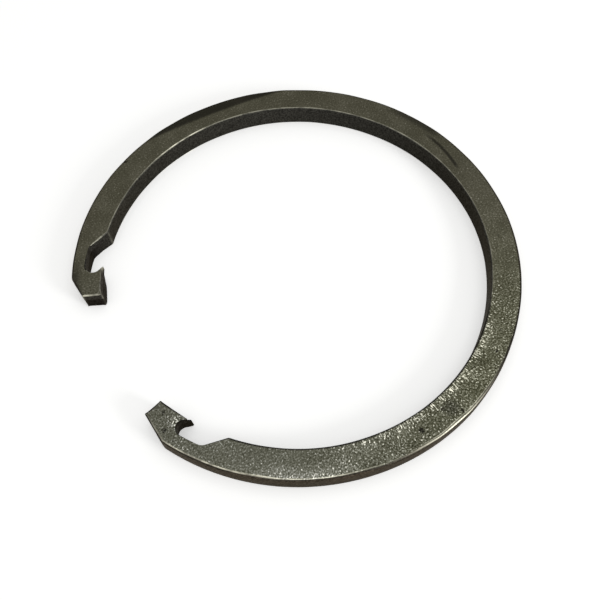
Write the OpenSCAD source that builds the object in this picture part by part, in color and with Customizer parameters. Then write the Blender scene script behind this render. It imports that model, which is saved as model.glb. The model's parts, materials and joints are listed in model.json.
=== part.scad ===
// Internal retaining ring with hooked, notched ends, in its free state.
// One piece of flat spring steel lies on z = 0, with its centre on the Z axis and its gap towards -X.
// Each end is a hook: the pliers' tips go into the notch behind it and pull the gap shut.

/* [Ring] */
// Outside diameter before the ring is sprung into its groove
outside_diameter = 95; // [80:0.5:120]
// Radial width of the section
radial_width = 6; // [5:0.1:7.5]
// Axial thickness of the section
thickness = 5; // [3.5:0.1:6.5]
// Width of the break that tumbling leaves on the edges of the two rims
edge_break = 0.2; // [0.1:0.05:0.35]

/* [Gap and ends] */
// Width of the gap between the inner corners of the end faces
gap_width = 27.5; // [20:0.5:36]
// Length of a hook along the inner circle, from its end face to its tip
hook_length = 6.2; // [5:0.1:8]
// How far the outer corner of an end is cut back from the rim
corner_cut_depth = 2.45; // [1:0.05:3]
// Length of that cut along the rim
corner_cut_length = 5.2; // [3:0.1:6.5]

/* [Notch] */
// Width of the notch's mouth along the inner circle
mouth_width = 8.9; // [8:0.1:12]
// Depth of the notch floor below the inner circle
notch_depth = 3.25; // [2.8:0.05:3.8]
// Radius of the round undercut behind the hook's tip
undercut_radius = 1.65; // [1.4:0.05:1.8]
// How far the undercut reaches back behind the tip
undercut_reach = 1.05; // [0.6:0.05:1.2]
// Angle of the sloping flank to the inner circle
flank_angle = 35; // [30:1:42]
// Radius between the notch floor and the flank
flank_fillet = 2; // [1:0.1:2.5]
// How far the two round punches of the notch bite past the walls they meet
punch_bite = 0.04; // [0.02:0.01:0.1]

/* [Sheared tips] */
// Depth of the clean sheared band on the tips, below the top face
shear_depth = 1.9; // [1.2:0.1:2.6]
// How far the torn spur under one tip stands out along the inner circle at the bottom face
spur_reach = 0.75; // [0.4:0.05:1]
// How far it stands out at its ledge, where the clean band ends
spur_ledge = 0.3; // [0.1:0.05:0.4]
// How far that spur leans in past the inner circle
spur_lean = 0.2; // [0.05:0.05:0.2]
// Depth to which the metal under the other tip is chipped away
chip_depth = 0.5; // [0.2:0.05:0.8]

/* [Hidden] */
$fn = 180;
steel = [0.36, 0.35, 0.3];
margin = 1;

// The breaks differ a little, so that no four faces meet at one point
punch_break = 0.8 * edge_break;
wall_break = 0.6 * edge_break;

outer_r = outside_diameter / 2;
inner_r = outer_r - radial_width;
floor_r = inner_r + notch_depth;
torn_top = thickness - shear_depth;

// Angles are measured round the axis from the middle of the gap
end_angle = asin(gap_width / 2 / inner_r);
tip_angle = end_angle + arc_angle(hook_length, inner_r);
flank_corner_angle = tip_angle + arc_angle(mouth_width, inner_r);
corner_cut_angle = end_angle + arc_angle(corner_cut_length, outer_r);
undercut_angle = tip_angle + arc_angle(undercut_radius - undercut_reach, inner_r);
undercut_r = floor_r + punch_bite - undercut_radius;

// The flank starts at its corner on the inner circle. The fillet lies against the flank and the notch
// floor, so its centre is the same distance off the flank's line and inside the floor's circle.
flank_corner = polar(inner_r, flank_corner_angle);
flank_way = heading(flank_corner_angle, flank_angle);
clear_way = heading(flank_corner_angle, flank_angle - 90);
fillet_inset = flank_fillet - punch_bite;
beside_corner = flank_corner + fillet_inset * clear_way;
run_back = beside_corner * flank_way;
fillet_run = sqrt(run_back ^ 2 - beside_corner * beside_corner + (floor_r - fillet_inset) ^ 2) - run_back;
fillet_centre = beside_corner + fillet_run * flank_way;
flank_top = flank_corner + fillet_run * flank_way;
fillet_angle = atan2(fillet_centre.y, -fillet_centre.x);

function arc_angle(length, radius) = length / radius * 180 / PI;
function polar(radius, angle) = radius * [-cos(angle), sin(angle)];
// Unit vector that points along the circle towards the gap, turned outwards by the angle given last
function heading(angle, turn) = cos(turn) * [-sin(angle), -cos(angle)] + sin(turn) * [-cos(angle), sin(angle)];

// Section of a cutter whose wall stands at x = 0. It clears what is at +x and breaks both edges of the wall.
function wall_section(depth, broken = wall_break) = [
    [-broken - margin, -margin], [0, broken], [0, thickness - broken],
    [-broken - margin, thickness + margin], [depth, thickness + margin], [depth, -margin]
];

// Section drawn in x and z, carried along a straight line with its +x on the line's right-hand side
module along(from, to, section) {
    way = to - from;
    translate(from)
        rotate(atan2(way.y, way.x) - 90)
            translate([0, norm(way), 0])
                rotate([90, 0, 0])
                    linear_extrude(norm(way)) polygon(section);
}

// Section drawn in x and z, turned about an upright axis with its x = 0 at the given radius and +x inwards
module around(radius, section, turn = 360) {
    rotate_extrude(angle = turn) polygon([for (p = section) [radius - p.x, p.y]]);
}

// Closed hoop of the ring's section, with its four edges broken
module hoop() {
    rotate_extrude()
        polygon([
            [inner_r + edge_break, 0], [outer_r - edge_break, 0],
            [outer_r, edge_break], [outer_r, thickness - edge_break],
            [outer_r - edge_break, thickness], [inner_r + edge_break, thickness],
            [inner_r, thickness - edge_break], [inner_r, edge_break]
        ]);
}

// Radial end face, cleared as far as the middle of the gap
module end_cut() {
    along(polar(outer_r + margin, end_angle), polar(inner_r * cos(end_angle) - margin, end_angle),
        wall_section((outer_r + margin) * sin(end_angle)));
}

// Straight cut across the outer corner of the end
module corner_cut() {
    on_end = polar(outer_r - corner_cut_depth, end_angle);
    on_rim = polar(outer_r, corner_cut_angle);
    overrun = 2 * margin * (on_rim - on_end) / norm(on_rim - on_end);
    along(on_rim + overrun, on_end - overrun, wall_section(corner_cut_depth + margin, punch_break));
}

// Notch behind the hook: round undercut, blunt tip, floor on the ring's own centre, fillet and flank
module notch_cut() {
    translate(polar(undercut_r, undercut_angle))
        around(undercut_radius, wall_section(undercut_radius, punch_break));
    along(polar(inner_r - margin, tip_angle), polar(undercut_r, tip_angle), wall_section(undercut_radius));
    rotate(180 - fillet_angle)
        around(floor_r, wall_section(notch_depth + margin), fillet_angle - undercut_angle);
    translate(fillet_centre)
        around(flank_fillet, wall_section(flank_fillet, punch_break));
    along(flank_top, flank_corner - 2 * margin * flank_way, wall_section(mouth_width / 2));
}

// Wedge of torn metal that stands out under the tip, from a small ledge down to the bottom face
module spur() {
    root_angle = tip_angle - arc_angle(2 * spur_reach, inner_r);
    root = polar(inner_r + 2 * edge_break, root_angle);
    crown = polar(inner_r + notch_depth / 3, root_angle);
    ledge = polar(inner_r, tip_angle + arc_angle(spur_ledge, inner_r));
    point = polar(inner_r - spur_lean, tip_angle + arc_angle(spur_reach, inner_r));
    polyhedron(
        points = [
            [root.x, root.y, 0], [crown.x, crown.y, 0], [point.x, point.y, 0],
            [root.x, root.y, torn_top], [crown.x, crown.y, torn_top], [ledge.x, ledge.y, torn_top]
        ],
        faces = [
            [2, 1, 0], [3, 4, 5], [0, 1, 4], [0, 4, 3], [1, 2, 5], [1, 5, 4], [2, 0, 3], [2, 3, 5]
        ]
    );
}

// Chip out of the metal under the tip, deepest at the foot of the clean band
module chip_cut() {
    along(polar(inner_r - margin, tip_angle), polar(undercut_r, tip_angle),
        [[-chip_depth, torn_top], [0, 0], [0, -margin], [margin, -margin], [margin, torn_top]]);
}

module retaining_ring() {
    color(steel) {
        difference() {
            hoop();
            for (side = [0, 1])
                mirror([0, side, 0]) {
                    end_cut();
                    corner_cut();
                    notch_cut();
                }
            chip_cut();
        }
        mirror([0, 1, 0]) spur();
    }
}

retaining_ring();
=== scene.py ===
"""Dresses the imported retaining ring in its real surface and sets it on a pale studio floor.

The ring is coiled on edge from flat spring-steel wire. Punches cut its ends and notches, and it is then
hardened, tumbled and oiled. Lengths are in metres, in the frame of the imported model.
"""
import json
import math

import bpy
import numpy as np
from bpy.props import FloatProperty, FloatVectorProperty, PointerProperty, StringProperty
from mathutils import Matrix, Vector


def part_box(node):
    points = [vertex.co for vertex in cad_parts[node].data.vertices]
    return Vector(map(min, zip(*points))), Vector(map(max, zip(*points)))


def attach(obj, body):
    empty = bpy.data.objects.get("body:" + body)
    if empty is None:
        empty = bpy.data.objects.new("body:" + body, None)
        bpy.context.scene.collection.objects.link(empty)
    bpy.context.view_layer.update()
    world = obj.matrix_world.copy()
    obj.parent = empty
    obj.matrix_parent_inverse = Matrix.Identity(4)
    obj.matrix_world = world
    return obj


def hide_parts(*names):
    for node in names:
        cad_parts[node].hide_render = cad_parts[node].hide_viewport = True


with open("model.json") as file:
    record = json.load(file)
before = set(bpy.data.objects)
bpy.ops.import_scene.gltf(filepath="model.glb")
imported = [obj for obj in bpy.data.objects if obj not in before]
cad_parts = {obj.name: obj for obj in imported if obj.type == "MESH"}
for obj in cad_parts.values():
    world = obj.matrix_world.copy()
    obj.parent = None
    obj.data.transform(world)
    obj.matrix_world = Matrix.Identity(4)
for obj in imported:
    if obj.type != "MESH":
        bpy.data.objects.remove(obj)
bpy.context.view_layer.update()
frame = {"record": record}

bl_info = {
    "name": "Retaining ring",
    "version": (1, 0, 0),
    "blender": (4, 5, 0),
    "location": "3D View > Sidebar > Ring",
    "description": "Makes an internal retaining ring with hooked ends, and the studio it is seen in",
    "category": "Add Mesh",
}

MM = 0.001
NODE = "retaining_ring"
PIECE = "ring_of_spring_steel"
ROUND_MOUNTS = {m["name"]: m["dims"]["r_mm"] * MM for m in frame["record"]["mounts"] if "r_mm" in m["dims"]}
RIM_RADIUS = ROUND_MOUNTS["outer_rim"]
BORE_RADIUS = ROUND_MOUNTS["inner_bore"]
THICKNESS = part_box(NODE)[1][2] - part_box(NODE)[0][2]
ATTRIBUTES = ("wall", "worn_and_highlighted", "kept", "lip_highlight", "punched", "torn")
# Single pits in the top face: X, Y and radius in millimetres, and how dark each is
PITS = (
    (22.4, -39.5, 0.42, 1.0), (0.1, -44.75, 0.75, 0.9), (6.2, -43.5, 0.8, 0.6), (9.1, -45.7, 0.5, 0.8),
    (7.6, -44.2, 2.3, 0.5), (-20.1, 42.6, 0.7, 1.0), (-41.2, -19.15, 0.55, 0.9), (-39.8, -15.8, 0.5, 0.7), (26.1, -36.2, 0.3, 0.5),
)
# Angle in degrees, and the move of the outer and the inner rim there in millimetres
OUT_OF_ROUND = (
    (-156, -0.02, -0.14), (-142, 0.02, -0.3), (-128, 0.08, -0.16), (-116, 0.12, -0.06), (-104, 0.2, -0.14),
    (-90, 0.32, -0.1), (-80, 0.4, -0.14), (-70, 0.5, -0.16), (-60, 0.17, -0.2), (-50, 0.07, -0.24),
    (-40, 0.13, -0.25), (-20, 0.24, -0.08), (0, 0.26, 0), (14, 0.34, -0.06), (35, 0.26, -0.08),
    (60, 0.1, 0), (76, 0, -0.08), (90, -0.1, -0.12), (108, 0.04, -0.1), (120, 0.12, -0.12),
    (135, 0.24, 0), (150, 0.2, -0.04), (162, 0.16, -0.06),
)


def length(name, description, default):
    return FloatProperty(name=name, description=description, default=default, min=0, precision=5,
                         unit="LENGTH", subtype="DISTANCE")


def angle(name, description, degrees):
    return FloatProperty(name=name, description=description, default=math.radians(degrees),
                         unit="ROTATION", subtype="ANGLE")


def share(name, description, default):
    return FloatProperty(name=name, description=description, default=default, min=0, max=1, subtype="FACTOR")


def number(name, description, default):
    return FloatProperty(name=name, description=description, default=default)


def colour(name, description, default):
    return StringProperty(name=name, description=description + ", as an sRGB hex value", default=default)


class RingSizes(bpy.types.PropertyGroup):
    """Sizes of the ring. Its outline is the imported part's, and the breaks and tears are the real ones."""

    outer_radius: length("Outer radius", "Radius of the outer rim", RIM_RADIUS)
    inner_radius: length("Inner radius", "Radius of the inner rim", BORE_RADIUS)
    thickness: length("Thickness", "Height of the ring as it lies", THICKNESS)
    gap_width: length("Gap", "Width of the gap between the inner corners of the ends", 27.5 * MM)
    upper_hook: length("Upper hook", "Length of the hook towards +Y, from its end face to its tip", 6.55 * MM)
    lower_hook: length("Lower hook", "Length of the hook towards -Y", 6.2 * MM)
    upper_corner_cut: length("Upper corner cut", "How far the upper end's outer corner is cut back", 2.1 * MM)
    lower_corner_cut: length("Lower corner cut", "The same at the lower end", 2.2 * MM)
    corner_cut_length: length("Corner cut length", "Length of that cut along the rim", 5.2 * MM)
    lower_reach: length("Lower reach", "How much further into the gap the lower end goes", 0.38 * MM)
    end_skew: angle("End skew", "Turn of both end faces away from the radius, the same way round", 7)
    mouth_width: length("Notch mouth", "Width of the notch along the inner rim", 8.9 * MM)
    notch_depth: length("Notch depth", "Depth of the notch floor below the inner rim", 3.25 * MM)
    undercut_radius: length("Undercut radius", "Radius of the round punch behind the tip", 1.57 * MM)
    undercut_reach: length("Undercut reach", "How far the undercut goes back behind the tip", 1.05 * MM)
    flank_angle: angle("Flank angle", "Angle of the notch's flank to the inner rim", 35)
    upper_fillet: length("Upper fillet", "Radius between the floor and flank of the upper notch", 0.9 * MM)
    lower_fillet: length("Lower fillet", "The same in the lower notch", 2.1 * MM)
    corner_softness: length("Corner softness", "Width over which tumbling rounds a corner", 0.15 * MM)
    tip_softness: length("Tip softness", "The same at the sharp tips", 0.05 * MM)
    rim_softness: length("Rim corner softness", "The same where a corner cut meets the rim", 0.34 * MM)
    outer_break: length("Outer break", "Radius on the edges of the outer rim", 0.48 * MM)
    inner_break: length("Inner break", "Radius on the edges of the inner rim", 0.3 * MM)
    roll_over: length("Roll-over", "Width of the roll-over that the punch leaves at the top", 0.3 * MM)
    roll_depth: length("Roll-over depth", "Depth of the roll-over", 0.4 * MM)
    foot_break: length("Foot break", "Radius at the bottom edge of the punched walls", 0.08 * MM)
    rim_crown: length("Rim crown", "How far the rolled rims bulge at half height", 0.035 * MM)
    shear_depth: length("Shear depth", "Depth of the clean band on a punched wall", 1.9 * MM)
    tear_step: length("Tear step", "Set-back of the torn wall below that band", 0.03 * MM)
    tear_taper: length("Tear taper", "Further set-back of the torn wall at the bottom", 0.3 * MM)
    tear_grain: length("Tear grain", "Height of the grain of the torn wall", 0.03 * MM)
    spur_ledge: length("Spur ledge", "How far the spur stands out at the foot of the clean band", 0.3 * MM)
    spur_reach: length("Spur reach", "How far the spur stands out at the bottom", 0.4 * MM)
    spur_lean: length("Spur lean", "How far the spur leans in past the inner rim", 0.7 * MM)
    chip_depth: length("Chip depth", "How deep the metal under the other tip is chipped", 0.5 * MM)
    hook_lean: length("Hook lean", "How far the upper hook's inner wall leans back at the top", 0.28 * MM)
    chip_spread: length("Chip spread", "How far the wall beside that chip leans back at the bottom", 0.35 * MM)
    beak_reach: length("Beak reach", "How far a broken ledge stands out under that other tip", 0.66 * MM)
    beak_lean: length("Beak lean", "How far that ledge leans in past the inner rim", 0.2 * MM)
    beak_height: length("Beak height", "Height of the foot of that ledge's broken slope", 4.4 * MM)


class SteelLook(bpy.types.PropertyGroup):
    """Colours and finish of the oiled spring steel."""

    smooth: colour("Smooth side", "Oiled olive brown of the smooth side", "#504E42")
    rubbed: colour("Rubbed side", "Olive oxide of the rubbed side, between its bright grains", "#545444")
    greyed: colour("Grey end", "The same towards the lower hook", "#57574D")
    # The glint colour also paints the glints of the grain and the highlights on the edges
    glint: colour("Glint", "Fresh steel in scratches and on worn edges", "#EBE8D2")
    # The pit colour also paints the dark reflection at the far edge and the painted shade on the edges
    pit_and_shade: colour("Pit", "Oxide left in the pits", "#1C1B17")
    # The walls' dark colours are partly oxide and partly painted shade, where the walls mirror dark surroundings
    inner_wall: colour("Inner wall", "Dark oxide on the rolled wall of the inner rim", "#363531")
    outer_wall: colour("Outer wall", "Dark oxide on the rolled wall of the outer rim", "#38352F")
    outer_line: colour("Outer wall's lines", "Brown in the drawing lines of the outer wall", "#4C443A")
    punched_wall: colour("Punched wall", "Smeared steel of the clean sheared band", "#363532")
    # The torn wall's near black is partly painted shade, where the notch walls by the lower hook face away from the
    # light
    torn_wall_and_shade: colour("Torn wall", "Grainy steel below the sheared band", "#21201F")
    slant: colour("Slant", "Tint of the walls where they are seen at a slant", "#BCB8B2")
    face_roughness: share("Face roughness", "Roughness of the flat faces", 0.42)
    wall_roughness: share("Wall roughness", "Roughness of the walls", 0.5)
    edge_roughness: share("Edge roughness", "Roughness of the worn edges", 0.28)


class StudioSettings(bpy.types.PropertyGroup):
    """Camera, lamps and floor. Directions are turned with the camera round the ring's axis."""

    lens: number("Lens", "Focal length in millimetres, for a sensor 36 mm wide", 42.88)
    azimuth: angle("Azimuth", "Turn of the camera round the ring's axis", -31.8)
    elevation: angle("Elevation", "Height of the camera above the horizon", 62.74)
    roll: angle("Roll", "Turn of the camera about its own line of sight", -0.04)
    distance: length("Distance", "Distance of the camera from the ring's centre", 156.84 * MM)
    slide: FloatVectorProperty(name="Slide", description="Move of the camera to its right and upwards",
                               size=2, default=(0.68 * MM, -6.81 * MM), unit="LENGTH")
    floor_colour: colour("Floor", "Matt white floor", "#F4F4F2")
    floor_lift: share("Floor lift", "Glow added to the floor where it is seen or mirrored, to make it white", 0.42)
    overhead_power: number("Overhead power", "Power of the soft lamp overhead, in watts", 0.9)
    window_power: number("Window power", "Power of the window at the right, in watts", 1)
    world_level: number("World level", "Light of the pale room on the ring. Seen or mirrored, it is white", 0.4)


def linear(hex_value):
    """Linear colour of an sRGB hex value: c / 12.92 below 0.04045, else ((c + 0.055) / 1.055) to the 2.4."""
    srgb = np.array([int(hex_value[i:i + 2], 16) for i in (1, 3, 5)]) / 255
    return (*np.where(srgb <= 0.04045, srgb / 12.92, ((srgb + 0.055) / 1.055) ** 2.4), 1.0)


def polar(radius, turn):
    """Plan point at that radius, turned about the axis from the middle of the gap: -r times e to the -i turn."""
    return -radius * np.exp(-1j * turn)


def heading(turn, tilt):
    """Unit step along the circle towards the gap, tilted outwards: -i times e to the -i (turn + tilt)."""
    return -1j * np.exp(-1j * (turn + tilt))


def arc(centre, radius, start, stop, count=60):
    """Points of a circle between two directions, taken the short way round."""
    turn = (stop - start + math.pi) % (2 * math.pi) - math.pi
    return centre + radius * np.exp(1j * (start + turn * np.linspace(0, 1, count)))


def end_path(sizes, hook_length, flank_fillet, corner_cut, reach, skew):
    """Sharp-cornered path of the upper end, from the flank's corner to the rim, and its tip.

    The fillet lies against the flank and inside the floor's circle, so its centre is the same distance off
    the flank's line and inside that circle. The undercut's circle touches the floor's from inside. The end
    face stands off the radius by the skew, and further into the gap by the reach.
    """
    inner, outer = sizes.inner_radius, sizes.outer_radius
    floor_radius = inner + sizes.notch_depth
    end_turn = math.asin(sizes.gap_width / 2 / inner)
    tip_turn = end_turn + hook_length / inner
    corner_turn = tip_turn + sizes.mouth_width / inner
    undercut_turn = tip_turn + (sizes.undercut_radius - sizes.undercut_reach) / inner

    corner = polar(inner, corner_turn)
    way = heading(corner_turn, sizes.flank_angle)
    beside = corner + flank_fillet * heading(corner_turn, sizes.flank_angle - math.pi / 2)
    back = (beside * way.conjugate()).real
    fillet_orbit = floor_radius - flank_fillet
    run = math.sqrt(back ** 2 - abs(beside) ** 2 + fillet_orbit ** 2) - back
    fillet = beside + run * way
    flank_top = corner + run * way

    undercut = polar(floor_radius - sizes.undercut_radius, undercut_turn)
    ray = polar(1, tip_turn)
    level = (undercut * ray.conjugate()).real
    throat = ray * (level - math.sqrt(level ** 2 - abs(undercut) ** 2 + sizes.undercut_radius ** 2))
    tip = polar(inner, tip_turn)
    end_corner = polar(inner, end_turn - reach / inner)
    face = (outer - corner_cut - inner) * polar(1, end_turn - reach / inner + skew)
    path = np.concatenate([
        [corner],
        arc(fillet, flank_fillet, np.angle(flank_top - fillet), np.angle(fillet)),
        arc(0, floor_radius, np.angle(fillet), np.angle(undercut)),
        arc(undercut, sizes.undercut_radius, np.angle(undercut), np.angle(throat - undercut)),
        [tip, end_corner, end_corner + face, polar(outer, end_turn + sizes.corner_cut_length / outer)],
    ])
    return path, tip


def blurred(values, spacing, width):
    """Even samples round a closed path, averaged with a Gaussian weight of that width."""
    waves = 2 * math.pi * np.fft.fftfreq(len(values), spacing)
    return np.fft.ifft(np.fft.fft(values) * np.exp(-(waves * width) ** 2 / 2))


def out_of_round(points):
    """Points moved along their radius, as a coiled ring is never quite round. Each rim has its own move at
    each angle, and a point between the rims takes the share of the two that its place gives."""
    angles, outer, inner = np.array(OUT_OF_ROUND).T
    round_once = np.arange(-180, 180)
    turn, radius = np.degrees(np.angle(points)), abs(points)
    outer, inner = (
        np.interp(turn, round_once, blurred(np.interp(round_once, angles, moves, period=360), 1, 5).real,
                  period=360) * MM for moves in (outer, inner))
    share = np.clip((radius - BORE_RADIUS) / (RIM_RADIUS - BORE_RADIUS), 0, 1)
    return points * (1 + (inner + (outer - inner) * share) / radius)


def plan_outline(sizes):
    """Outline of the ring in plan, with the metal on its left, as even samples of a closed path.

    Gives the points as x + iy, a mask that is 1 on punched walls and 0 on rims, the room that corners leave
    for an inset, the path length of each sample, and that of the two tips. A Gaussian blur rounds corners.
    """
    upper, upper_tip = end_path(sizes, sizes.upper_hook, sizes.upper_fillet, sizes.upper_corner_cut, 0,
                                sizes.end_skew)
    lower, lower_tip = end_path(sizes, sizes.lower_hook, sizes.lower_fillet, sizes.lower_corner_cut,
                                sizes.lower_reach, -sizes.end_skew)
    upper, lower, lower_tip = upper[::-1], lower.conj(), lower_tip.conjugate()
    turns = 720
    rim = sizes.outer_radius * np.exp(1j * np.linspace(np.angle(lower[-1]), np.angle(upper[0]), turns))
    bore = sizes.inner_radius * np.exp(1j * np.linspace(np.angle(upper[-1]), np.angle(lower[0]), turns))
    corners = np.concatenate([rim, upper[1:], bore[1:], lower[1:]])
    punched = np.concatenate([
        np.zeros(len(rim)), np.ones(len(upper) - 2), np.zeros(len(bore)), np.ones(len(lower) - 2), [0]])
    run = np.concatenate([[0], np.cumsum(abs(np.diff(corners)))])

    spacing = 0.03 * MM
    count = round(run[-1] / spacing)
    along = np.arange(count) * (run[-1] / count)
    points = np.interp(along, run, corners.real) + 1j * np.interp(along, run, corners.imag)
    mask = np.interp(along, run, punched)
    tips = [along[np.argmin(abs(points - t))] for t in (upper_tip, lower_tip)]
    at_tip = sum(near(along - t, 0.6 * MM) for t in tips)
    at_rim = sum(near(abs(points - corner), 1.6 * MM) for corner in (rim[0], rim[-1]))
    plain, fine, wide = (blurred(points, along[1], width) for width in
                         (sizes.corner_softness, sizes.tip_softness, sizes.rim_softness))
    soft_mask = blurred(mask, along[1], sizes.corner_softness).real
    soft = out_of_round(plain + (fine - plain) * at_tip + (wide - plain) * at_rim)

    # Round a blurred corner the path has the radius called nose, and a wedge grows wider with distance
    loop = corners[:-1]
    turned = np.angle((np.roll(loop, -1) - loop) * (loop - np.roll(loop, 1)).conj())
    sharp = np.flatnonzero(turned > math.radians(15))
    wedge = (math.pi - turned[sharp]) / 2
    nose = sizes.corner_softness * math.sqrt(2 * math.pi) * np.sin(wedge) ** 2 / (2 * np.cos(wedge))
    whole = run[-1]
    apart = abs((along[:, None] - run[sharp] + whole / 2) % whole - whole / 2)
    room = (0.7 * nose + 0.6 * np.tan(wedge) * apart).min(axis=1)
    for t in tips:
        room = np.minimum(room, 0.03 * MM + 0.15 * abs(along - t))
    return soft, soft_mask, room, along, tips


def thin_out(points, mask, room, along):
    """Fewer samples of the outline, closer together on punched walls and in bends, with what goes with them:
    inward normal, mask, bend, room for an inset and path length."""
    step = along[1]
    slope = (np.roll(points, -1) - np.roll(points, 1)) / (2 * step)
    bend = (slope.conjugate() * (np.roll(points, -1) - 2 * points + np.roll(points, 1))).imag / step ** 2
    density = 1 / (0.8 * MM) + mask / (0.16 * MM) + abs(bend) / math.radians(11)
    spent = np.concatenate([[0], np.cumsum(density * step)])
    kept = np.interp(np.linspace(0, spent[-1], round(spent[-1]), endpoint=False), spent,
                     np.append(along, along[-1] + step))
    closed = np.append(along, along[-1] + step)

    def at(values):
        return np.interp(kept, closed, np.append(values, values[0]))

    normal = 1j * (at(slope.real) + 1j * at(slope.imag))
    return at(points.real) + 1j * at(points.imag), normal / abs(normal), at(mask), at(bend), at(room), kept


def value_noise(x, y, seed):
    """Random heights from -1 to 1 on a square lattice, blended between its corners by 3t^2 - 2t^3."""
    table = np.random.default_rng(seed).uniform(-1, 1, (97, 89))
    column, row = np.floor(x).astype(int), np.floor(y).astype(int)
    s, t = x - column, y - row
    s, t = s * s * (3 - 2 * s), t * t * (3 - 2 * t)

    def corner(i, j):
        return table[(column + i) % 97, (row + j) % 89]

    return (corner(0, 0) * (1 - s) + corner(1, 0) * s) * (1 - t) + (corner(0, 1) * (1 - s) + corner(1, 1) * s) * t


def near(distance, width):
    """Bell that is 1 at no distance and falls to 1/e at the width."""
    return np.exp(-(distance / width) ** 2)


def ring_surface(sizes):
    """Vertices of the ring's skin: a profile from the top face's edge down the wall to the bottom face's
    edge, carried round the outline. Rows are the profile's points and columns the outline's.

    A row lies at its height, and inside the outline by its inset. Each edge is a quarter circle. A rim's
    wall bulges as a parabola. A punched wall is upright down to the shear depth, then steps back, tapers and
    turns grainy. Under the tips the wall is carried along the path: out for the spur and back for the chip.
    """
    outline = plan_outline(sizes)
    points, normal, punched, bend, room, along = thin_out(*outline[:4])
    tips = outline[4]
    high = sizes.thickness
    torn_top = high - sizes.shear_depth
    is_outer = abs(points) > (sizes.outer_radius + sizes.inner_radius) / 2
    rim_break = np.where(is_outer, sizes.outer_break, sizes.inner_break)
    rim_break = rim_break * (1 + 0.2 * value_noise(along / (4 * MM), along * 0, 3))
    uneven = 1 + 0.15 * value_noise(along / (1.5 * MM), along * 0, 4)
    top_width, top_depth, foot = (
        (1 - punched) * rim_break + punched * cut * uneven
        for cut in (sizes.roll_over, sizes.roll_depth, sizes.foot_break))
    # The hook's inner wall is a piece of the rim, so the punch has not torn it
    hook_wall = punched * np.clip((sizes.inner_radius + 0.45 * MM - abs(points)) / (0.3 * MM), 0, 1)
    leaning = sizes.hook_lean * hook_wall * (points.imag > 0)
    # Two rows lie on the flat beside each edge and hold its wear and its painted highlight. By the lip highlight
    # they lie further in
    turn = np.degrees(np.angle(points))
    by_lip_highlight = is_outer * near(turn + 79, 11)
    fine_line = np.where(is_outer, 0.07 * MM, 0.05 * MM)
    holding = 2 * fine_line + 0.2 * MM * by_lip_highlight
    # Where a corner leaves too little room for the widest inset, every inset shrinks by the same share
    widest = np.maximum(top_width + leaning,
                        foot + punched * (sizes.tear_step + sizes.tear_taper + sizes.tear_grain))
    keen = np.minimum(room / (widest + holding), 1)
    top_width, top_depth, foot, holding, fine_line = (
        size * keen for size in (top_width, top_depth, foot, holding, fine_line))

    quarter = np.radians([0, 20, 40, 60, 78, 90])
    wall = np.array([4.3, 3.9, 3.5, 3.2, 3.12, 3.07, 3.0, 2.7, 2.4, 2.1, 1.8, 1.5, 1.2, 0.9, 0.6, 0.4]) * MM
    wall = wall + (torn_top - 3.1 * MM)
    round_in, round_down = 1 - np.sin(quarter)[:, None], 1 - np.cos(quarter)[:, None]
    inset = np.vstack([
        top_width + holding, top_width + holding - fine_line, round_in * top_width,
        np.zeros((len(wall), len(points))), round_in[::-1] * foot, foot + 2 * fine_line])
    height = np.vstack([
        np.full((2, len(foot)), high), high - round_down * top_depth, np.repeat(wall[:, None], len(points), 1),
        round_down[::-1] * foot, np.zeros_like(foot)])

    crown = sizes.rim_crown * (2 * height / high - 1) ** 2
    depth = np.clip((torn_top - height) / torn_top, 0, 1)
    torn = np.clip((torn_top + 0.02 * MM - height) / (0.05 * MM), 0, 1)
    grain = value_noise(along / (0.3 * MM), height / (0.34 * MM), 5)
    grain = grain + 0.5 * value_noise(along / (0.16 * MM), height / (0.2 * MM), 6)
    ripple = value_noise(along / (2.2 * MM), height / (3 * MM), 7)
    from_gap = (math.pi - abs(np.angle(points))) * abs(points) - sizes.gap_width / 2
    at_end = near(np.maximum(from_gap, 0), 2.4 * MM)
    taper = torn * sizes.tear_taper * depth ** 0.7 * (1 - hook_wall)
    setback = torn * (sizes.tear_step * (1 - hook_wall) + sizes.tear_grain * grain) + taper * (1 - at_end)
    setback = (setback + 0.01 * MM * ripple) * keen
    at_corner = near(from_gap, 0.5 * MM) * near(abs(points) - sizes.inner_radius, 0.5 * MM)
    lean_back = leaning * keen * (height / high) ** 1.5
    inset = inset + (1 - punched) * crown + punched * setback + lean_back

    upper_tip, lower_tip = (near(along - tip, 0.55 * MM) for tip in tips)
    beside_upper = near(along - tips[0], 1.5 * MM)
    out_from_tip = points / abs(points)
    around = 1j * out_from_tip
    # Towards the notch is clockwise at the upper end and anticlockwise at the lower one
    spur = sizes.spur_ledge + (sizes.spur_reach - sizes.spur_ledge) * depth
    lean = sizes.spur_lean * (0.85 + 0.15 * depth)
    away_from_gap = np.where(points.imag > 0, -1, 1) * around
    shift = 0.35 * torn * sizes.tear_taper * depth ** 0.7 * at_end * away_from_gap
    shift = shift + 1.5 * torn * sizes.tear_taper * depth ** 2 * at_corner * out_from_tip
    shift = shift + torn * lower_tip * (spur * around - lean * out_from_tip)
    shift = shift - torn * upper_tip * sizes.chip_depth * (1 - depth) * away_from_gap
    shift = shift + torn * beside_upper * sizes.chip_spread * depth * out_from_tip
    beak = upper_tip * np.clip((high - height) / (high - sizes.beak_height), 0, 1)
    beak = beak * (1 - torn) - 0.35 * upper_tip * (1 - beak)
    shift = shift + beak * (sizes.beak_reach * away_from_gap - sizes.beak_lean * out_from_tip) * (1 - torn)
    shift = shift - torn * upper_tip * (1 - depth) * sizes.beak_lean * out_from_tip
    plan = points + normal * inset + shift

    is_wall = np.zeros_like(inset)
    is_wall[3:-2] = 1
    torn = torn * punched
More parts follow.
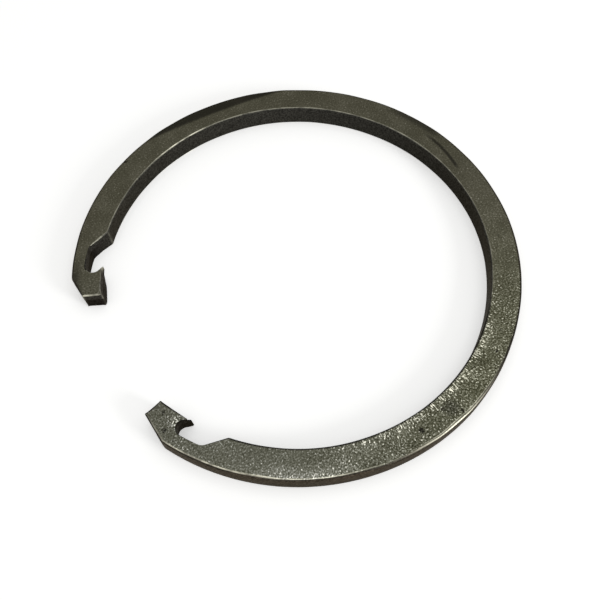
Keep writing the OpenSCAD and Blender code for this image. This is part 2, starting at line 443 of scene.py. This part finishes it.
    # Painted shade darkens the edges on the near side, and painted highlights brighten them most on the far side
    shaded_side = np.clip(((points * (-0.29 + 0.96j)).real - 18 * MM) / (6 * MM), 0, 1)
    highlight_side = np.clip(((points * (0.15 - 0.98j)).real + 9 * MM) / (15 * MM), 0, 1)
    wear_and_highlight_share = np.maximum(0.75 * highlight_side, 0.35 * (1 - shaded_side))
    # Elsewhere the inner and punched edges are worn and carry painted highlights: on the crest of a punched edge,
    # and above it on a rim
    square_on = abs((normal * around.conj()).real)
    end_face = punched * (from_gap < 4 * MM) * np.clip((square_on - 0.6) / 0.3, 0, 1)
    rim_wear_and_highlight = 0.36 + np.maximum(0.64 * punched, 1.2 * near(turn - 99, 9)) - 0.65 * hook_wall
    inner_edge = np.maximum((1 - is_outer) * rim_wear_and_highlight, 1.15 * end_face)
    on_crest = np.array([0, 0, 0.5, 1, 0.7, 0.2, 0])[:, None]
    above_it = np.array([0.6, 1, 0.7, 0.2, 0, 0, 0])[:, None]
    crested = np.maximum(punched, shaded_side)
    worn_and_highlighted, kept, lip_highlight = (np.zeros_like(inset) for _ in range(3))
    worn_and_highlighted[1:8] = (on_crest * crested + above_it * (1 - crested)) * inner_edge
    worn_and_highlighted[-7:-1] = on_crest[:0:-1] * inner_edge
    worn_and_highlighted = np.maximum(worn_and_highlighted, is_wall * np.clip(bend * 0.12 * MM, 0, 1)) * (1 - 0.6 * torn)
    # Painted light: the broken slope under the upper tip is painted lighter, as where it catches the light
    worn_and_highlighted[7:10] = np.maximum(worn_and_highlighted[7:10], 0.6 * upper_tip)
    # Painted shade: on the near side the edges get a dark line in place of wear
    kept = np.clip(3 * worn_and_highlighted, 0, 1) * shaded_side
    kept[1:3] = np.maximum(kept[1:3], 0.6 * shaded_side * np.maximum(1 - is_outer, punched))
    worn_and_highlighted = worn_and_highlighted * wear_and_highlight_share
    # The top of the outer rim has a painted highlight as a bright fringe, with a painted dark line of shade below
    # it, and in one place a brighter painted highlight, the lip
    at_lip_highlight = is_outer * (1 - punched) * near(turn + 82.5, 10)
    shown = is_outer * (1 - punched) * np.maximum(np.clip((-94 - turn) / 26, 0, 1), by_lip_highlight)
    outermost = (1 - punched) * np.clip((-122 - turn) / 16, 0, 1)
    fringe_highlight = np.array([1 - outermost, np.clip(1 - 2 * by_lip_highlight - 0.5 * outermost, 0, 1), 0.9 * outermost]) * shown
    worn_and_highlighted[1:4] = np.maximum(worn_and_highlighted[1:4], 0.65 * fringe_highlight)
    # Painted shade: the dark line below the fringe
    below = np.array([np.clip(2 * by_lip_highlight, 0, 1), 1 - outermost - at_lip_highlight, 0.3 + 0.7 * outermost])
    kept[2:5] = np.maximum(kept[2:5], below * is_outer * (1 - near(turn + 98, 9)))
    # Painted highlight: the lip, where a lamp's reflection falls on the round of the edge
    lip_highlight[3:5] = np.array([0.85, 0.25])[:, None] * at_lip_highlight
    return {
        "plan": plan, "height": height, "wall": is_wall, "worn_and_highlighted": worn_and_highlighted, "kept": kept, "lip_highlight": lip_highlight,
        "punched": punched + 0 * inset, "torn": torn,
    }


def ring_mesh(sizes):
    """Mesh of the ring's skin, closed round the outline and capped by a flat face at the top and bottom."""
    skin = ring_surface(sizes)
    rows, columns = skin["plan"].shape
    vertices = np.stack([skin["plan"].real, skin["plan"].imag, skin["height"]], -1).reshape(-1, 3)
    index = np.arange(rows * columns).reshape(rows, columns)
    onward = np.roll(index, -1, axis=1)
    quads = np.stack([index[1:], onward[1:], onward[:-1], index[:-1]], -1).reshape(-1, 4)
    mesh = bpy.data.meshes.new(PIECE)
    mesh.from_pydata(vertices, [], [*quads.tolist(), index[0].tolist(), index[-1, ::-1].tolist()])
    smooth = np.ones(len(mesh.polygons), bool)
    smooth[-2:] = False
    mesh.polygons.foreach_set("use_smooth", smooth)
    for name in ATTRIBUTES:
        layer = mesh.attributes.new(name, "FLOAT", "POINT")
        layer.data.foreach_set("value", skin[name].astype(np.float32).ravel())
    mesh.update()
    mesh.validate()
    return mesh


def add(tree, kind, links=None, give=0, **settings):
    """Adds a node, sets its settings, links or fills its inputs, and gives one of its outputs."""
    node = tree.nodes.new(kind)
    for name, value in settings.items():
        setattr(node, name, value)
    for socket, source in (links or {}).items():
        if isinstance(source, bpy.types.NodeSocket):
            tree.links.new(source, node.inputs[socket])
        else:
            node.inputs[socket].default_value = source
    return node.outputs[give] if len(node.outputs) else node


def seen_ray(tree):
    """1 for a ray that sees or mirrors the background, and 0 for one that only carries its light."""
    rays = add(tree, "ShaderNodeLightPath").node.outputs
    seen = add(tree, "ShaderNodeMath", {0: rays["Is Camera Ray"], 1: rays["Is Glossy Ray"]}, operation="MAXIMUM")
    return add(tree, "ShaderNodeMath", {0: seen, 1: rays["Is Transmission Ray"]}, operation="MAXIMUM")


def oiled_spring_steel(look):
    """Spring steel, coiled on edge from flat wire, hardened, tumbled and oiled. The eye sees satin olive grey
    faces with a fine grain, rubbed and pitted on one side, wrinkles square to the inner rim that the coiling
    pressed up, dark brown walls with the drawing lines of the wire, and edges worn bright. Light is painted in
    too: glints in the grain, highlights and shade along the edges, shade in the walls, and a dark reflection."""
    material = bpy.data.materials.new("spring_steel_tumbled_and_oiled")
    material.use_nodes = True
    tree = material.node_tree
    tree.nodes.clear()
    place = add(tree, "ShaderNodeTexCoord", give="Object")
    place = add(tree, "ShaderNodeVectorMath", {0: place, 1: (1000, 1000, 1000)}, operation="MULTIPLY")
    x, y, z = add(tree, "ShaderNodeSeparateXYZ", {0: place}).node.outputs
    flat = add(tree, "ShaderNodeCombineXYZ", {0: x, 1: y})
    radius = add(tree, "ShaderNodeVectorMath", {0: flat}, give="Value", operation="LENGTH")
    turn = add(tree, "ShaderNodeMath", {0: y, 1: x}, operation="ARCTAN2")
    along = add(tree, "ShaderNodeMath", {0: turn, 1: (RIM_RADIUS + BORE_RADIUS) / 2 / MM}, operation="MULTIPLY")
    # Millimetres along the ring, across it and up
    band = add(tree, "ShaderNodeCombineXYZ", {0: along, 1: radius, 2: z})
    wall, worn_and_highlighted, kept, lip_highlight, punched, torn = (
        add(tree, "ShaderNodeAttribute", give="Fac", attribute_name=name) for name in ATTRIBUTES)

    # The side that has rubbed and rusted most is told by the distance towards it
    toward = add(tree, "ShaderNodeVectorMath", {0: flat, 1: (-0.34, -0.94, 0)}, give="Value",
                 operation="DOT_PRODUCT")
    rubbed = add(tree, "ShaderNodeMapRange", {0: toward, 1: -14.0, 2: 31.0, 3: 0.0, 4: 1.0},
                 interpolation_type="SMOOTHSTEP")

    # Clouds 4 mm across, grain of 0.35 mm, and wrinkles 0.25 mm apart and 1.5 mm long
    clouds = add(tree, "ShaderNodeTexNoise", {"Vector": band, "Scale": 0.25, "Detail": 3.0, "Roughness": 0.6})
    grain = add(tree, "ShaderNodeTexNoise", {"Vector": place, "Scale": 2.8, "Detail": 1.5, "Roughness": 0.55})
    uneven = add(tree, "ShaderNodeMath", {0: grain, 1: 0.5}, operation="SUBTRACT")
    pressed = add(tree, "ShaderNodeVectorMath", {0: band, 1: (4.0, 0.5, 0.5)}, operation="MULTIPLY")
    wrinkles = add(tree, "ShaderNodeTexNoise", {"Vector": pressed, "Scale": 1.15, "Detail": 1.5, "Distortion": 0.2})
    inner_side = add(tree, "ShaderNodeMapRange",
                     {0: radius, 1: BORE_RADIUS / MM + 2.6, 2: BORE_RADIUS / MM + 0.3, 3: 0.08, 4: 1.0})
    patches = add(tree, "ShaderNodeTexNoise", {"Vector": band, "Scale": 0.6, "Detail": 1.0})
    patches = add(tree, "ShaderNodeMapRange", {0: patches, 1: 0.36, 2: 0.6, 3: 0.42, 4: 0.95})
    # The coiling pressed hardest opposite the lower hook, and the grain there also carries the brightest painted
    # glints
    crest = add(tree, "ShaderNodeVectorMath", {0: flat, 1: (0.24, -0.97, 0)}, give="Value", operation="DOT_PRODUCT")
    crest = add(tree, "ShaderNodeMapRange", {0: crest, 1: 30.5, 2: 43.5, 3: 0.08, 4: 1.0},
                interpolation_type="SMOOTHSTEP")
    coiled = add(tree, "ShaderNodeMath", {0: inner_side, 1: patches}, operation="MULTIPLY")
    coiled = add(tree, "ShaderNodeMath", {0: coiled, 1: crest}, operation="MULTIPLY")
    wrinkles = add(tree, "ShaderNodeMath", {0: wrinkles, 1: 0.5}, operation="SUBTRACT")
    wrinkles = add(tree, "ShaderNodeMath", {0: wrinkles, 1: coiled}, operation="MULTIPLY")
    # Frosted patches, where the grain is laid bare
    bare = add(tree, "ShaderNodeTexNoise", {"Vector": band, "Scale": 0.35, "Detail": 2.0})
    bare = add(tree, "ShaderNodeMapRange", {0: bare, 1: 0.42, 2: 0.64, 3: 0.4, 4: 0.8})
    frost = add(tree, "ShaderNodeVectorMath", {0: flat, 1: (-24.5, -40.7, 0)}, give="Value",
                operation="DISTANCE")
    frost = add(tree, "ShaderNodeMapRange", {0: frost, 1: 12.0, 2: 4.0, 3: 0.0, 4: 1.0},
                interpolation_type="SMOOTHSTEP")
    by_rim = add(tree, "ShaderNodeMapRange", {0: radius, 1: 44.0, 2: 46.8, 3: 0.0, 4: 1.0})
    frost = add(tree, "ShaderNodeMath", {0: frost, 1: by_rim}, operation="MULTIPLY")
    bare = add(tree, "ShaderNodeMath", {0: bare, 1: frost}, operation="MAXIMUM")
    bare = add(tree, "ShaderNodeMath", {0: bare, 1: rubbed}, operation="MULTIPLY")
    fine = add(tree, "ShaderNodeVectorMath", {0: band, 1: (4.6, 2.6, 1.0)}, operation="MULTIPLY")
    fine = add(tree, "ShaderNodeTexNoise", {"Vector": fine, "Scale": 1.0, "Detail": 1.0})

    # Tumbling scratches in three directions, 6 mm long. Real ones are finer than the render can show
    scratches = 0
    for degrees, shift in ((20, 0), (75, 31), (-48, 57)):
        run = add(tree, "ShaderNodeMapping", {0: place, "Location": (shift, shift, 0),
                                              "Rotation": (0, 0, math.radians(degrees))})
        run = add(tree, "ShaderNodeVectorMath", {0: run, 1: (0.22, 4.2, 0)}, operation="MULTIPLY")
        line = add(tree, "ShaderNodeTexNoise", {"Vector": run, "Scale": 1.0, "Detail": 1.0})
        line = add(tree, "ShaderNodeMapRange", {0: line, 1: 0.66, 2: 0.76, 3: 0.0, 4: 1.0})
        scratches = add(tree, "ShaderNodeMath", {0: scratches, 1: line}, operation="MAXIMUM")

    # Small pits, one in about a third of the cells of the pattern, then the single ones
    cells = add(tree, "ShaderNodeTexVoronoi", {"Vector": place, "Scale": 0.6, "Randomness": 1.0})
    pit_size = add(tree, "ShaderNodeMapRange",
                   {0: cells.node.outputs["Color"], 1: 0.55, 2: 1.0, 3: -0.1, 4: 0.2})
    pits = add(tree, "ShaderNodeMath", {0: pit_size, 1: cells}, operation="SUBTRACT")
    pits = add(tree, "ShaderNodeMapRange", {0: pits, 1: -0.06, 2: 0.1, 3: 0.0, 4: 0.8})
    pits = add(tree, "ShaderNodeMath", {0: pits, 1: rubbed}, operation="MULTIPLY")
    rough_edge = add(tree, "ShaderNodeMath", {0: uneven, 1: 1.2}, operation="MULTIPLY")
    for pit_x, pit_y, pit_radius, darkness in PITS:
        away = add(tree, "ShaderNodeVectorMath", {0: flat, 1: (pit_x, pit_y, 0)}, give="Value",
                   operation="DISTANCE")
        away = add(tree, "ShaderNodeMath", {0: away, 1: rough_edge}, operation="ADD")
        away = add(tree, "ShaderNodeMapRange", {0: away, 1: pit_radius, 2: 0.3 * pit_radius, 3: 0.0, 4: darkness},
                   interpolation_type="SMOOTHSTEP")
        pits = add(tree, "ShaderNodeMath", {0: pits, 1: away}, operation="MAXIMUM")

    # A painted dark reflection lies beyond a shallow arc at the far edge, and the face is painted darker in two
    # streaks on the other side
    from_arc = add(tree, "ShaderNodeVectorMath", {0: flat, 1: (-13.5, -145.9, 0)}, give="Value",
                   operation="DISTANCE")
    from_arc = add(tree, "ShaderNodeMath", {0: uneven, 1: 1.5, 2: from_arc}, operation="MULTIPLY_ADD")
    dark_reflection_and_streaks = add(tree, "ShaderNodeMapRange", {0: from_arc, 1: 190.8, 2: 191.5, 3: 0.0, 4: 0.85},
              interpolation_type="SMOOTHSTEP")
    bow = add(tree, "ShaderNodeMath", {0: y, 1: 6.0}, operation="SUBTRACT")
    bow = add(tree, "ShaderNodeMath", {0: bow, 1: bow}, operation="MULTIPLY")
    off_dark_streak = add(tree, "ShaderNodeMath", {0: x, 1: 44.15}, operation="SUBTRACT")
    off_dark_streak = add(tree, "ShaderNodeMath", {0: bow, 1: 0.018, 2: off_dark_streak}, operation="MULTIPLY_ADD")
    beside = add(tree, "ShaderNodeMath", {0: off_dark_streak}, operation="ABSOLUTE")
    dark_streak = add(tree, "ShaderNodeMapRange", {0: beside, 1: 0.62, 2: 0.12, 3: 0.0, 4: 0.8},
                interpolation_type="SMOOTHSTEP")
    for limit, full in ((0.2, 2.0), (14.0, 9.5)):
        window = add(tree, "ShaderNodeMapRange", {0: y, 1: limit, 2: full, 3: 0.0, 4: 1.0},
                     interpolation_type="SMOOTHSTEP")
        dark_streak = add(tree, "ShaderNodeMath", {0: dark_streak, 1: window}, operation="MULTIPLY")
    dark_reflection_and_streaks = add(tree, "ShaderNodeMath", {0: dark_reflection_and_streaks, 1: dark_streak}, operation="MAXIMUM")
    outer_dark_streak = add(tree, "ShaderNodeMapRange", {0: radius, 1: 45.2, 2: 46.8, 3: 0.0, 4: 0.65},
                      interpolation_type="SMOOTHSTEP")
    for limit, full in ((8.5, 13.0), (25.0, 20.0)):
        window = add(tree, "ShaderNodeMapRange", {0: y, 1: limit, 2: full, 3: 0.0, 4: 1.0},
                     interpolation_type="SMOOTHSTEP")
        outer_dark_streak = add(tree, "ShaderNodeMath", {0: outer_dark_streak, 1: window}, operation="MULTIPLY")
    dark_reflection_and_streaks = add(tree, "ShaderNodeMath", {0: dark_reflection_and_streaks, 1: outer_dark_streak}, operation="MAXIMUM")

    # Tone of the flat faces in stops: the grain, with painted glints where a few points are far brighter than most
    spread = add(tree, "ShaderNodeMath", {0: bare, 1: 3.8, 2: 1.8}, operation="MULTIPLY_ADD")
    spread = add(tree, "ShaderNodeMath", {0: crest, 1: 3.0, 2: spread}, operation="MULTIPLY_ADD")
    sparks = add(tree, "ShaderNodeMath", {0: fine, 1: 0.5}, operation="SUBTRACT")
    sparks = add(tree, "ShaderNodeMath", {0: sparks, 1: 1.0, 2: uneven}, operation="MULTIPLY_ADD")
    tone = add(tree, "ShaderNodeMath", {0: sparks, 1: spread}, operation="MULTIPLY")
    streaks = add(tree, "ShaderNodeMath", {0: uneven, 1: 0.15, 2: wrinkles}, operation="MULTIPLY_ADD")
    streaks = add(tree, "ShaderNodeMath", {0: streaks, 1: 0.025}, operation="SUBTRACT")
    streaks = add(tree, "ShaderNodeMath", {0: streaks, 1: -0.01}, operation="MAXIMUM")
    tone = add(tree, "ShaderNodeMath", {0: streaks, 1: 43.0, 2: tone}, operation="MULTIPLY_ADD")
    clouded = add(tree, "ShaderNodeMath", {0: clouds, 1: 0.5}, operation="SUBTRACT")
    cloud_depth = add(tree, "ShaderNodeMath", {0: crest, 1: 1.6, 2: 1.4}, operation="MULTIPLY_ADD")
    tone = add(tree, "ShaderNodeMath", {0: clouded, 1: cloud_depth, 2: tone}, operation="MULTIPLY_ADD")
    tone = add(tree, "ShaderNodeMath", {0: frost, 1: 0.95, 2: tone}, operation="MULTIPLY_ADD")
    scuffed = add(tree, "ShaderNodeVectorMath", {0: flat, 1: (-38.6, -18.9, 0)}, give="Value",
                  operation="DISTANCE")
    scuffed = add(tree, "ShaderNodeMapRange", {0: scuffed, 1: 2.3, 2: 0.5, 3: 0.0, 4: 1.0})
    scuffs = add(tree, "ShaderNodeMath", {0: sparks, 1: 5.0, 2: 0.7}, operation="MULTIPLY_ADD")
    tone = add(tree, "ShaderNodeMath", {0: scuffs, 1: scuffed, 2: tone}, operation="MULTIPLY_ADD")
    # A stretch of the face opposite the gap is a little paler
    paler = add(tree, "ShaderNodeVectorMath", {0: flat, 1: (42, -16, 0)}, give="Value", operation="DISTANCE")
    paler = add(tree, "ShaderNodeMapRange", {0: paler, 1: 20.0, 2: 10.0, 3: 0.0, 4: 0.26},
                interpolation_type="SMOOTHSTEP")
    tone = add(tree, "ShaderNodeMath", {0: tone, 1: paler}, operation="ADD")
    scratched = add(tree, "ShaderNodeMath", {0: scratches, 1: rubbed}, operation="MULTIPLY")
    tone = add(tree, "ShaderNodeMath", {0: scratched, 1: 1.0, 2: tone}, operation="MULTIPLY_ADD")
    shallow = add(tree, "ShaderNodeMath", {0: tone, 1: 0.78}, operation="MULTIPLY")
    tone = add(tree, "ShaderNodeMath", {0: tone, 1: shallow}, operation="MAXIMUM")
    gain = add(tree, "ShaderNodeMath", {0: 2.0, 1: tone}, operation="POWER")
    gain = add(tree, "ShaderNodeMath", {0: gain, 1: 6.3}, operation="MINIMUM")
    # Painted glints: the brightest grains turn to the glint colour
    painted_glints = add(tree, "ShaderNodeMapRange", {0: gain, 1: 2.8, 2: 8.0, 3: 0.0, 4: 1.0})
    # The rubbed side turns from olive to grey towards the lower hook
    greyed = add(tree, "ShaderNodeMapRange", {0: x, 1: 15.0, 2: -25.0, 3: 0.0, 4: 1.0})
    rubbed_face = add(tree, "ShaderNodeMix", {0: greyed, "A": linear(look.rubbed), "B": linear(look.greyed)},
                      give=2, data_type="RGBA")
    face = add(tree, "ShaderNodeMix", {0: rubbed, "A": linear(look.smooth), "B": rubbed_face}, give=2,
               data_type="RGBA")
    greyer = add(tree, "ShaderNodeMath", {0: gain, 1: 1.15}, operation="POWER")
    gain_of_colour = add(tree, "ShaderNodeCombineXYZ", {0: gain, 1: gain, 2: greyer})
    face = add(tree, "ShaderNodeVectorMath", {0: face, 1: gain_of_colour}, operation="MULTIPLY")
    face = add(tree, "ShaderNodeMix", {0: painted_glints, "A": face, "B": linear(look.glint)}, give=2, data_type="RGBA")
    # Pits take the pit colour, and so do the painted dark reflection and streaks
    for cover in (pits, dark_reflection_and_streaks):
        face = add(tree, "ShaderNodeMix", {0: cover, "A": face, "B": linear(look.pit_and_shade)}, give=2, data_type="RGBA")

    # Drawing lines of the wire run round the rims' walls, 0.3 mm apart
    drawn = add(tree, "ShaderNodeVectorMath", {0: band, 1: (0.09, 0.5, 3.2)}, operation="MULTIPLY")
    drawn = add(tree, "ShaderNodeTexNoise", {"Vector": drawn, "Scale": 1.0, "Detail": 2.0})
    drawn = add(tree, "ShaderNodeMapRange", {0: drawn, 1: 0.36, 2: 0.66, 3: 0.0, 4: 1.0})
    outer_rim = add(tree, "ShaderNodeMix",
                    {0: drawn, "A": linear(look.outer_wall), "B": linear(look.outer_line)}, give=2,
                    data_type="RGBA")
    outer_side = add(tree, "ShaderNodeMath", {0: radius, 1: (RIM_RADIUS + BORE_RADIUS) / 2 / MM},
                     operation="GREATER_THAN")
    shaded = add(tree, "ShaderNodeMapRange", {0: x, 1: 15.0, 2: 42.0, 3: 1.0, 4: 0.64})
    inner_rim = add(tree, "ShaderNodeVectorMath", {0: linear(look.inner_wall)[:3], "Scale": shaded},
                    operation="SCALE")
    rim = add(tree, "ShaderNodeMix", {0: outer_side, "A": inner_rim, "B": outer_rim}, give=2, data_type="RGBA")
    # A punch leaves upright lines on its clean band, and torn grain of 0.3 mm below it
    upright = add(tree, "ShaderNodeVectorMath", {0: place, 1: (3.4, 3.4, 0.25)}, operation="MULTIPLY")
    upright = add(tree, "ShaderNodeTexNoise", {"Vector": upright, "Scale": 1.0, "Detail": 1.0})
    cut = add(tree, "ShaderNodeMix", {0: torn, "A": linear(look.punched_wall), "B": linear(look.torn_wall_and_shade)},
              give=2, data_type="RGBA")
    sides = add(tree, "ShaderNodeMix", {0: punched, "A": rim, "B": cut}, give=2, data_type="RGBA")
    mottle = add(tree, "ShaderNodeMapRange", {0: grain, 1: 0.35, 2: 0.68, 3: 0.5, 4: 1.6})
    sides = add(tree, "ShaderNodeVectorMath", {0: sides, "Scale": mottle}, operation="SCALE")
    colour_mix = add(tree, "ShaderNodeMix", {0: wall, "A": face, "B": sides}, give=2, data_type="RGBA")

    # Edges are worn bright where they stand proud and carry painted highlights, in broken lengths of 1 to 3 mm; the
    # lip's painted highlight is unbroken
    lengths = add(tree, "ShaderNodeTexNoise", {"Vector": band, "Scale": 0.45, "Detail": 3.0, "Roughness": 0.6})
    lengths = add(tree, "ShaderNodeMapRange", {0: lengths, 1: 0.4, 2: 0.6, 3: 0.35, 4: 1.0})
    bright = add(tree, "ShaderNodeMath", {0: worn_and_highlighted, 1: lengths}, operation="MULTIPLY")
    bright = add(tree, "ShaderNodeMath", {0: bright, 1: lip_highlight}, operation="MAXIMUM")
    # Painted shade darkens the edges on the near side to the pit colour
    colour_mix = add(tree, "ShaderNodeMix", {0: kept, "A": colour_mix, "B": linear(look.pit_and_shade)}, give=2,
                     data_type="RGBA")
    colour_mix = add(tree, "ShaderNodeMix", {0: bright, "A": colour_mix, "B": linear(look.glint)}, give=2,
                     data_type="RGBA")

    rough = add(tree, "ShaderNodeMix", {0: wall, "A": look.face_roughness, "B": look.wall_roughness})
    rough = add(tree, "ShaderNodeMath", {0: pits, 1: 0.2, 2: rough}, operation="MULTIPLY_ADD")
    rough = add(tree, "ShaderNodeMath", {0: uneven, 1: -0.25, 2: rough}, operation="MULTIPLY_ADD")
    rough = add(tree, "ShaderNodeMix", {0: bright, "A": rough, "B": look.edge_roughness})

    # Relief in hundredths of a millimetre
    on_face = add(tree, "ShaderNodeMath", {0: 1.0, 1: wall}, operation="SUBTRACT")
    relief = add(tree, "ShaderNodeMath", {0: uneven, 1: 1.0}, operation="MULTIPLY")
    relief = add(tree, "ShaderNodeMath", {0: relief, 1: rubbed}, operation="MULTIPLY")
    relief = add(tree, "ShaderNodeMath", {0: wrinkles, 1: 1.6, 2: relief}, operation="MULTIPLY_ADD")
    relief = add(tree, "ShaderNodeMath", {0: pits, 1: -1.5, 2: relief}, operation="MULTIPLY_ADD")
    relief = add(tree, "ShaderNodeMath", {0: scratched, 1: -0.3, 2: relief}, operation="MULTIPLY_ADD")
    relief = add(tree, "ShaderNodeMath", {0: relief, 1: on_face}, operation="MULTIPLY")
    lined = add(tree, "ShaderNodeMix", {0: punched, "A": drawn, "B": upright})
    lined = add(tree, "ShaderNodeMath", {0: lined, 1: wall}, operation="MULTIPLY")
    relief = add(tree, "ShaderNodeMath", {0: lined, 1: 0.6, 2: relief}, operation="MULTIPLY_ADD")
    normal = add(tree, "ShaderNodeBump", {"Height": relief, "Distance": 0.02 * MM, "Strength": 1.0})
    # The edge tint below white keeps the dark walls dark where they are seen at a slant
    surface = add(tree, "ShaderNodeBsdfPrincipled", {
        "Base Color": colour_mix, "Metallic": 1.0, "Roughness": rough, "Normal": normal,
        "Specular Tint": linear(look.slant)})
    add(tree, "ShaderNodeOutputMaterial", {"Surface": surface})
    return material


class RING_OT_make_ring(bpy.types.Operator):
    """Makes the ring of spring steel, with its breaks, tears and finish"""

    bl_idname = "ring.make_ring"
    bl_label = "Make ring"

    def execute(self, context):
        scene = context.scene
        mesh = ring_mesh(scene.ring_sizes)
        ring = bpy.data.objects.new(PIECE, mesh)
        scene.collection.objects.link(ring)
        mesh.materials.append(oiled_spring_steel(scene.ring_steel))
        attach(ring, "root")
        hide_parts(NODE)
        return {"FINISHED"}


class RING_OT_set_stage(bpy.types.Operator):
    """Sets the floor, lamps, room and camera"""

    bl_idname = "ring.set_stage"
    bl_label = "Set stage"

    def execute(self, context):
        scene = context.scene
        studio = scene.ring_studio
        half = 1.5
        mesh = bpy.data.meshes.new("floor")
        depth = -0.02 * MM
        mesh.from_pydata([(-half, -half, depth), (half, -half, depth), (half, half, depth), (-half, half, depth)],
                         [], [(0, 1, 2, 3)])
        floor = bpy.data.objects.new("floor", mesh)
        scene.collection.objects.link(floor)
        material = bpy.data.materials.new("matt_white_floor")
        material.use_nodes = True
        tree = material.node_tree
        tree.nodes.clear()
        matt = add(tree, "ShaderNodeBsdfDiffuse", {"Color": linear(studio.floor_colour)})
        lift = add(tree, "ShaderNodeMath", {0: seen_ray(tree), 1: studio.floor_lift}, operation="MULTIPLY")
        glow = add(tree, "ShaderNodeEmission", {"Color": (1, 1, 1, 1), "Strength": lift})
        both = add(tree, "ShaderNodeAddShader", {0: matt, 1: glow})
        add(tree, "ShaderNodeOutputMaterial", {"Surface": both})
        mesh.materials.append(material)

        turned = Matrix.Rotation(studio.azimuth, 4, "Z")
        lamps = (
            ("overhead", studio.overhead_power, (0.6, 0.6), Vector((0.05, -0.02, 0.6))),
            ("window", studio.window_power, (0.15, 0.18), Vector((0.46, -0.295, 0.26))),
        )
        for name, power, size, where in lamps:
            lamp = bpy.data.lights.new(name, "AREA")
            lamp.shape = "RECTANGLE"
            lamp.size, lamp.size_y = size
            lamp.energy = power
            holder = bpy.data.objects.new(name, lamp)
            scene.collection.objects.link(holder)
            holder.matrix_world = turned @ Matrix.Translation(where) @ (
                (-where).to_track_quat("-Z", "Y").to_matrix().to_4x4())

        world = bpy.data.worlds.new("pale_room")
        scene.world = world
        world.use_nodes = True
        tree = world.node_tree
        tree.nodes.clear()
        level = add(tree, "ShaderNodeMath", {0: seen_ray(tree), 1: 1 - studio.world_level, 2: studio.world_level},
                    operation="MULTIPLY_ADD")
        room = add(tree, "ShaderNodeBackground", {"Color": (1, 1, 1, 1), "Strength": level})
        add(tree, "ShaderNodeOutputWorld", {"Surface": room})

        lens = bpy.data.cameras.new("camera")
        lens.lens = studio.lens
        lens.sensor_width = 36
        lens.clip_start, lens.clip_end = 0.01, 10
        camera = bpy.data.objects.new("camera", lens)
        scene.collection.objects.link(camera)
        aim = (Matrix.Rotation(math.pi / 2 - studio.elevation, 4, "X")
               @ Matrix.Rotation(studio.roll, 4, "Z"))
        shift = Matrix.Translation((*studio.slide, studio.distance))
        camera.matrix_world = turned @ aim @ shift
        scene.camera = camera
        scene.view_settings.view_transform = "Standard"
        return {"FINISHED"}


class RING_PT_panel(bpy.types.Panel):
    """Lists the steps that make the ring and its studio"""

    bl_idname = "RING_PT_panel"
    bl_label = "Retaining ring"
    bl_space_type = "VIEW_3D"
    bl_region_type = "UI"
    bl_category = "Ring"

    def draw(self, context):
        for step in STEPS:
            self.layout.operator(step.bl_idname)
        for group in (context.scene.ring_sizes, context.scene.ring_steel, context.scene.ring_studio):
            box = self.layout.box()
            for name in group.__annotations__:
                box.prop(group, name)


STEPS = (RING_OT_make_ring, RING_OT_set_stage)
GROUPS = {"ring_sizes": RingSizes, "ring_steel": SteelLook, "ring_studio": StudioSettings}


def register():
    for item in (*GROUPS.values(), *STEPS, RING_PT_panel):
        bpy.utils.register_class(item)
    for name, group in GROUPS.items():
        setattr(bpy.types.Scene, name, PointerProperty(type=group))


def unregister():
    for name in GROUPS:
        delattr(bpy.types.Scene, name)
    for item in reversed((*GROUPS.values(), *STEPS, RING_PT_panel)):
        bpy.utils.unregister_class(item)


def main():
    register()
    bpy.ops.ring.make_ring()
    bpy.ops.ring.set_stage()


if __name__ == "__main__":
    main()
